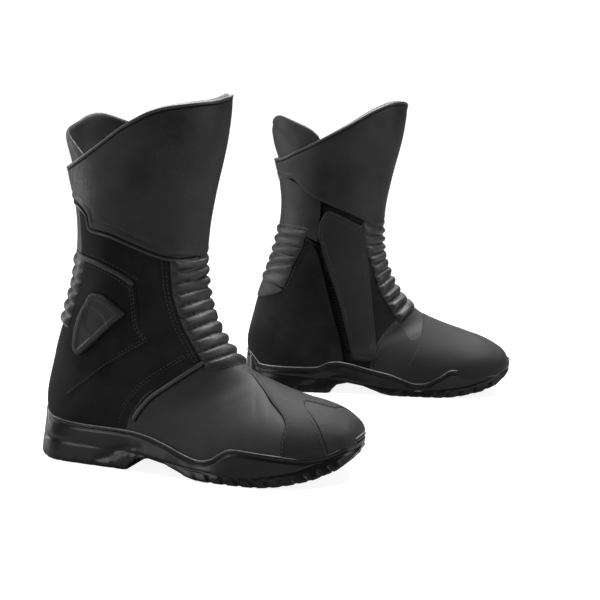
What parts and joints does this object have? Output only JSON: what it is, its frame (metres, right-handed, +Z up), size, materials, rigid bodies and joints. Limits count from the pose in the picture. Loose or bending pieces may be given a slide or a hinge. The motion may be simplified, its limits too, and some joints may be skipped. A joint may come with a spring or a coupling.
{
  "type": "riding boots",
  "caption": "Calf-high touring motorcycle boots with a flexing ankle, ribbed flex zones, moulded ankle plate, side zip under a hook-and-loop flap, and a cup sole.",
  "frame": {"origin": "middle of the pair's footprint, on the ground", "axes": "+Z up; toes point roughly along +X, each boot turned slightly towards -Y; the left boot stands behind the right along +Y"},
  "size_m": [0.4792, 0.4406, 0.3335],
  "materials": {
    "leather_oiled": "waxed full-grain, soft sheen",
    "leather_nubuck": "matte nubuck",
    "leather_ribs": "padded pull-up leather",
    "rubber_sole": "semi-gloss moulded",
    "moulded_plate": "satin moulded",
    "lining_textile": "brushed textile",
    "zip_textile": "woven tape",
    "collar_piping": "smooth, slightly glossy",
    "stiff_board": "fibre board",
    "spring_steel": "plain",
    "zip_metal": "blackened"
  },
  "bodies": {
    "right_foot": {"right_outsole": "rubber_sole", "right_rand": "rubber_sole", "right_insole_board": "stiff_board", "right_shank": "spring_steel", "right_footbed": "lining_textile", "right_foot_lining": "lining_textile", "right_toe_puff": "stiff_board", "right_heel_counter": "stiff_board", "right_toe_cap": "leather_oiled", "right_shift_pad": "leather_nubuck", "right_vamp": "leather_oiled", "right_lateral_quarter": "leather_nubuck", "right_medial_quarter_rear": "leather_nubuck", "right_medial_quarter_front": "leather_nubuck", "right_front_flex_ribs": "leather_ribs", "right_rear_flex_ribs": "leather_ribs", "right_ankle_overlay": "leather_nubuck", "right_ankle_protector": "moulded_plate", "right_zip_tape": "zip_textile", "right_loop_strip": "zip_textile"},
    "right_shaft": {"right_shaft_lining": "lining_textile", "right_rear_collar_tab": "leather_oiled", "right_calf_panel": "leather_oiled", "right_collar_piping": "collar_piping", "right_lateral_gaiter": "leather_nubuck", "right_medial_gaiter": "leather_oiled"},
    "right_flap": {"right_closure_flap": "leather_nubuck", "right_hook_strip": "zip_textile"},
    "right_slider": {"right_zip_slider": "zip_metal"},
    "right_puller": {"right_zip_puller": "zip_metal"},
    "left_foot": {"left_outsole": "rubber_sole", "left_rand": "rubber_sole", "left_insole_board": "stiff_board", "left_shank": "spring_steel", "left_footbed": "lining_textile", "left_foot_lining": "lining_textile", "left_toe_puff": "stiff_board", "left_heel_counter": "stiff_board", "left_toe_cap": "leather_oiled", "left_shift_pad": "leather_nubuck", "left_vamp": "leather_oiled", "left_lateral_quarter": "leather_nubuck", "left_medial_quarter_rear": "leather_nubuck", "left_medial_quarter_front": "leather_nubuck", "left_front_flex_ribs": "leather_ribs", "left_rear_flex_ribs": "leather_ribs", "left_ankle_overlay": "leather_nubuck", "left_ankle_protector": "moulded_plate", "left_zip_tape": "zip_textile", "left_loop_strip": "zip_textile"},
    "left_shaft": {"left_shaft_lining": "lining_textile", "left_rear_collar_tab": "leather_oiled", "left_calf_panel": "leather_oiled", "left_collar_piping": "collar_piping", "left_lateral_gaiter": "leather_nubuck", "left_medial_gaiter": "leather_oiled"},
    "left_flap": {"left_closure_flap": "leather_nubuck", "left_hook_strip": "zip_textile"},
    "left_slider": {"left_zip_slider": "zip_metal"},
    "left_puller": {"left_zip_puller": "zip_metal"}
  },
  "joints": [
    {"name": "right_ankle_flex", "type": "hinge", "parent": "right_foot", "child": "right_shaft", "pos_m": [-0.13551, -0.12511, 0.167], "axis": [0.3338, 0.9426, 0], "range_deg": [-5, 10], "stiffness_Nm_per_rad": 20, "deforming": ["right_front_flex_ribs", "right_rear_flex_ribs"]},
    {"name": "right_flap_hinge", "type": "hinge", "parent": "right_foot", "child": "right_flap", "pos_m": [-0.06997, -0.1003, 0.04], "axis": [0.1392, 0.0173, -0.9901], "range_deg": [0, 110]},
    {"name": "right_zip_slide", "type": "slide", "parent": "right_foot", "child": "right_slider", "axis": [0.2126, -0.115, -0.9704], "range_m": [0, 0.098]},
    {"name": "right_puller_swing", "type": "hinge", "parent": "right_slider", "child": "right_puller", "pos_m": [-0.12934, -0.08197, 0.16217], "axis": [0.9153, -0.3241, 0.2389], "range_deg": [0, 150]},
    {"name": "left_boot_lift", "type": "slide", "parent": "right_foot", "child": "left_foot", "axis": [0, 0, 1], "range_m": [0, 0.25]},
    {"name": "left_ankle_flex", "type": "hinge", "parent": "left_foot", "child": "left_shaft", "pos_m": [0.04271, 0.16263, 0.167], "axis": [0.1305, 0.9914, 0], "range_deg": [-5, 10], "stiffness_Nm_per_rad": 20, "deforming": ["left_front_flex_ribs", "left_rear_flex_ribs"]},
    {"name": "left_flap_hinge", "type": "hinge", "parent": "left_foot", "child": "left_flap", "pos_m": [0.08984, 0.11077, 0.04], "axis": [-0.1162, 0.0786, 0.9901], "range_deg": [0, 110]},
    {"name": "left_zip_slide", "type": "slide", "parent": "left_foot", "child": "left_slider", "axis": [0.2416, 0.0059, -0.9704], "range_m": [0, 0.098]},
    {"name": "left_puller_swing", "type": "hinge", "parent": "left_slider", "child": "left_puller", "pos_m": [0.02862, 0.12139, 0.16217], "axis": [-0.9627, 0.1267, -0.2389], "range_deg": [0, 150]}
  ]
}
